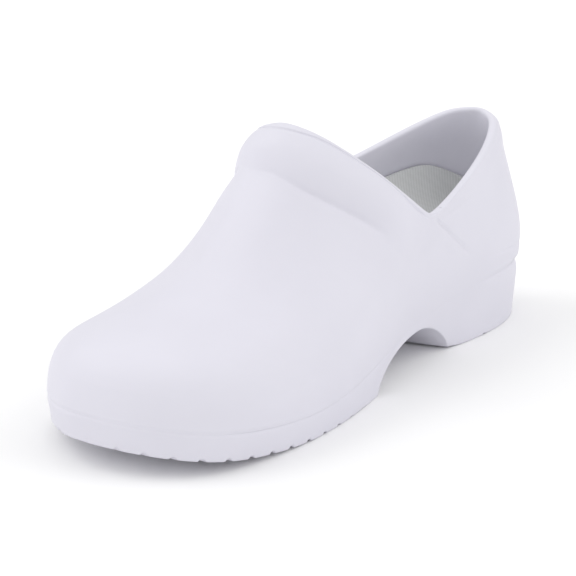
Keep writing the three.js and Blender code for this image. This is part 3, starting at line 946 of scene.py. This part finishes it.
# Its side ends below the lip, and the corner above it is rounded: drops from the lip, insets of the side's
# rows, then inset and lift of the lip's rows
SIDE_TOP = 0.8
CORNER_TOP = 0.3
SIDE_INSETS = (0, 0, 0, 0.15, 0.5)
LIP_ROWS = ((1.2, 0.15), (2.1, 0.0))
# How flat the bottom of its cup is
CUP_POWER = 2.4


def build_insole():
    shares = np.arange(INSOLE_COLUMNS) / INSOLE_COLUMNS
    ribs = Ribs(shares)
    shell = Shell(INSOLE_COLUMNS)
    seat = ribs.reach(seat_height(ribs.x))
    bed = seat + GAP + insole_edge(ribs.x)
    low = seat + GAP
    rows = [low + (bed - SIDE_TOP - low) * step for step in (0, 0.5, 1)]
    rows += [bed - CORNER_TOP, bed]
    grid = ribs.at(np.array(rows))
    normal = grid_normals(grid)
    inset = WALL + GAP
    side = []
    for row, extra in enumerate(SIDE_INSETS):
        side.append(shell.ring(grid[row] - normal[row] * (inset + extra)))
    for extra, lift in LIP_ROWS:
        lip = grid[-1] - normal[-1] * (inset + extra)
        lip[:, 2] += lift
        side.append(shell.ring(lip))
    shell.bands(side)
    half = INSOLE_COLUMNS // 2
    rungs = np.linspace(0, 1, INSOLE_RUNGS)[1:-1]

    def across(points):
        a = points[1:half][:, None]
        b = points[:half:-1][:, None]
        return a + (b - a) * rungs[:, None]

    top = across(lip)
    depth = dish_at(top[..., 0]) + insole_edge(top[..., 0]) - INSOLE_THICKNESS
    top[..., 2] -= depth * (1 - np.abs(2 * rungs - 1) ** CUP_POWER)
    shell.ladder(side[-1], top, face_up=True)
    under = across(grid[0] - normal[0] * inset)
    under[..., 2] -= dish_at(under[..., 0]) * 4 * rungs * (1 - rungs)
    shell.ladder(side[0], under, face_up=False)
    return shell.make("clog_insole")


# Materials

class Nodes:
    """A material, its shader and short ways to add nodes."""

    def __init__(self, name):
        self.material = bpy.data.materials.new(name)
        self.material.use_nodes = True
        self.tree = self.material.node_tree
        self.shader = self.tree.nodes["Principled BSDF"]
        self.coords = self.tree.nodes.new("ShaderNodeTexCoord").outputs["Object"]

    def add(self, kind, links=None, **values):
        node = self.tree.nodes.new(kind)
        for key, value in values.items():
            if hasattr(node, key):
                setattr(node, key, value)
            else:
                node.inputs[key.replace("_", " ").title()].default_value = value
        for socket, source in (links or {}).items():
            self.tree.links.new(source, node.inputs[socket])
        return node

    def math(self, operation, a, b=0.0):
        node = self.tree.nodes.new("ShaderNodeMath")
        node.operation = operation
        for k, value in enumerate((a, b)):
            if isinstance(value, (int, float)):
                node.inputs[k].default_value = value
            else:
                self.tree.links.new(value, node.inputs[k])
        return node.outputs[0]

    def ramp(self, factor, *stops):
        """A colour that runs between two stops, each a position and a colour."""
        node = self.add("ShaderNodeValToRGB", {"Fac": factor})
        for element, (position, colour) in zip(node.color_ramp.elements, stops):
            element.position = position
            element.color = (*colour, 1)
        return node.outputs["Color"]


# White foam: its cloudy tint, sparse mould specks and a fine grain
FOAM_DARK = (0.705, 0.695, 0.768)
FOAM_LIGHT = (0.725, 0.715, 0.788)
SPECK_COLOUR = (0.35, 0.35, 0.4)
SPECK_SIZE = 0.05
SPECK_RARITY = 0.9
SPECK_STRENGTH = 0.3
FOAM_ROUGHNESS = (0.46, 0.56)
GRAIN_HEIGHT = 0.00008
# Places of the colour sockets on a mix node
MIX_FIRST = 6
MIX_SECOND = 7
MIX_RESULT = 2


def eva_foam():
    made = Nodes("eva_white")
    tree = made.tree
    shader = made.shader
    cloud = made.add(
        "ShaderNodeTexNoise", {"Vector": made.coords}, Scale=28.0, Detail=3.0, Roughness=0.5
    )
    tint = made.ramp(cloud.outputs["Fac"], (0.3, FOAM_DARK), (0.7, FOAM_LIGHT))
    speck = made.add("ShaderNodeTexVoronoi", {"Vector": made.coords}, Scale=75.0)
    close = made.math("LESS_THAN", speck.outputs["Distance"], SPECK_SIZE)
    parts = made.add("ShaderNodeSeparateColor", {"Color": speck.outputs["Color"]})
    rare = made.math("GREATER_THAN", parts.outputs[0], SPECK_RARITY)
    mask = made.math("MULTIPLY", made.math("MULTIPLY", close, rare), SPECK_STRENGTH)
    mix = made.add("ShaderNodeMix", {"Factor": mask}, data_type="RGBA")
    tree.links.new(tint, mix.inputs[MIX_FIRST])
    mix.inputs[MIX_SECOND].default_value = (*SPECK_COLOUR, 1)
    tree.links.new(mix.outputs[MIX_RESULT], shader.inputs["Base Color"])
    grain = made.add(
        "ShaderNodeTexNoise", {"Vector": made.coords}, Scale=900.0, Detail=4.0, Roughness=0.6
    )
    rough = made.add("ShaderNodeMapRange", {"Value": grain.outputs["Fac"]})
    rough.inputs["To Min"].default_value = FOAM_ROUGHNESS[0]
    rough.inputs["To Max"].default_value = FOAM_ROUGHNESS[1]
    tree.links.new(rough.outputs[0], shader.inputs["Roughness"])
    bump = made.add(
        "ShaderNodeBump", {"Height": grain.outputs["Fac"]}, Strength=0.25, Distance=GRAIN_HEIGHT
    )
    tree.links.new(bump.outputs[0], shader.inputs["Normal"])
    shader.inputs["IOR"].default_value = 1.45
    shader.inputs["Specular IOR Level"].default_value = 0.35
    return made.material


# Woven cloth, its threads on the diagonals of the frame: spacing in metres, share of the relief, colours
WARP_SPACING = 1.35e-3
WEFT_SPACING = 2.6e-3
WARP_SHARE = 0.75
WEFT_SHARE = 0.25
RIB_SHARE = 0.5
CLOTH_DARK = (0.59, 0.60, 0.59)
CLOTH_LIGHT = (0.67, 0.68, 0.675)
WEAVE_HEIGHT = 0.00018


def insole_cloth():
    made = Nodes("insole_weave")
    tree = made.tree
    shader = made.shader
    axes = made.add("ShaderNodeSeparateXYZ", {"Vector": made.coords})
    turn = math.sqrt(2) * math.pi
    slant = made.math("SUBTRACT", axes.outputs[0], axes.outputs[1])
    rise = made.math("ADD", axes.outputs[0], axes.outputs[1])
    warp = made.math("SINE", made.math("MULTIPLY", slant, turn / WARP_SPACING))
    weft = made.math("SINE", made.math("MULTIPLY", rise, turn / WEFT_SPACING))
    rib = made.math(
        "ADD", made.math("MULTIPLY", warp, WARP_SHARE), made.math("MULTIPLY", weft, WEFT_SHARE)
    )
    fuzz = made.add("ShaderNodeTexNoise", {"Vector": made.coords}, Scale=1800.0, Detail=3.0)
    full = made.math("ADD", made.math("MULTIPLY", rib, RIB_SHARE), fuzz.outputs["Fac"])
    tint = made.ramp(full, (0.0, CLOTH_DARK), (1.0, CLOTH_LIGHT))
    tree.links.new(tint, shader.inputs["Base Color"])
    bump = made.add("ShaderNodeBump", {"Height": full}, Strength=0.45, Distance=WEAVE_HEIGHT)
    tree.links.new(bump.outputs[0], shader.inputs["Normal"])
    shader.inputs["Roughness"].default_value = 0.95
    shader.inputs["Sheen Weight"].default_value = 0.1
    return made.material


FOAM = eva_foam()
CLOTH = insole_cloth()

for build, node, slot, material in (
    (build_upper, "upper", "upper_foam", FOAM),
    (build_sole, "sole", "sole_foam", FOAM),
    (build_insole, "insole", "insole_cloth", CLOTH),
):
    piece = build()
    piece.data.materials.append(material)
    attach(piece, "root")
    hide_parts(node)


# Floor, lights and camera

FLOOR_HALF = 6.0
FLOOR_DARK = (0.95, 0.95, 0.95)
FLOOR_LIGHT = (0.96, 0.96, 0.96)
SKY_STRENGTH = 0.72


def add_floor():
    mesh = bpy.data.meshes.new("studio_floor")
    corners = [(-1, -1), (1, -1), (1, 1), (-1, 1)]
    mesh.from_pydata([(a * FLOOR_HALF, b * FLOOR_HALF, 0) for a, b in corners], [], [(0, 1, 2, 3)])
    floor = bpy.data.objects.new("studio_floor", mesh)
    bpy.context.scene.collection.objects.link(floor)
    made = Nodes("floor_white")
    cloud = made.add("ShaderNodeTexNoise", {"Vector": made.coords}, Scale=3.0)
    tint = made.ramp(cloud.outputs["Fac"], (0.0, FLOOR_DARK), (1.0, FLOOR_LIGHT))
    made.tree.links.new(tint, made.shader.inputs["Base Color"])
    made.shader.inputs["Roughness"].default_value = 0.9
    made.shader.inputs["Specular IOR Level"].default_value = 0.1
    mesh.materials.append(made.material)


def direction(azimuth, elevation):
    """Unit vector for degrees from the toe towards the inner side, and up."""
    turn = math.radians(azimuth)
    lift = math.radians(elevation)
    return Vector((math.cos(turn) * math.cos(lift), math.sin(turn) * math.cos(lift), math.sin(lift)))


def point_back(thing, source):
    """Turns a light or camera that stands towards the source to look back along it."""
    thing.rotation_mode = "QUATERNION"
    thing.rotation_quaternion = (-source).to_track_quat("-Z", "Y")
    bpy.context.scene.collection.objects.link(thing)


def add_light(name, azimuth, elevation, spread, power):
    """A broad soft source. Spread is how wide it looks, in degrees."""
    data = bpy.data.lights.new(name, "SUN")
    data.energy = power
    data.angle = math.radians(spread)
    point_back(bpy.data.objects.new(name, data), direction(azimuth, elevation))


add_floor()
world = bpy.data.worlds.new("studio")
world.use_nodes = True
world.node_tree.nodes["Background"].inputs["Color"].default_value = (1, 1, 1, 1)
world.node_tree.nodes["Background"].inputs["Strength"].default_value = SKY_STRENGTH
bpy.context.scene.world = world
add_light("overhead", azimuth=0, elevation=88, spread=60, power=0.16)
add_light("behind", azimuth=262, elevation=50, spread=50, power=0.16)
add_light("toe_side", azimuth=-52, elevation=42, spread=50, power=0.80)
add_light("front", azimuth=37, elevation=30, spread=60, power=0.16)
add_light("heel_side", azimuth=127, elevation=38, spread=50, power=0.66)
bpy.context.scene.view_settings.view_transform = "Standard"

AZIMUTH = 37.4
ELEVATION = 15.8
DISTANCE = 0.750
FOCUS = Vector((0.000432, 0.001112, 0.050))
camera_data = bpy.data.cameras.new("camera")
camera_data.sensor_width = 36.0
camera_data.lens = 114.0
camera_data.shift_x = -0.0365
camera_data.shift_y = -0.0590
towards = direction(AZIMUTH, ELEVATION)
camera = bpy.data.objects.new("camera", camera_data)
camera.location = FOCUS + towards * DISTANCE
point_back(camera, towards)
bpy.context.scene.camera = camera
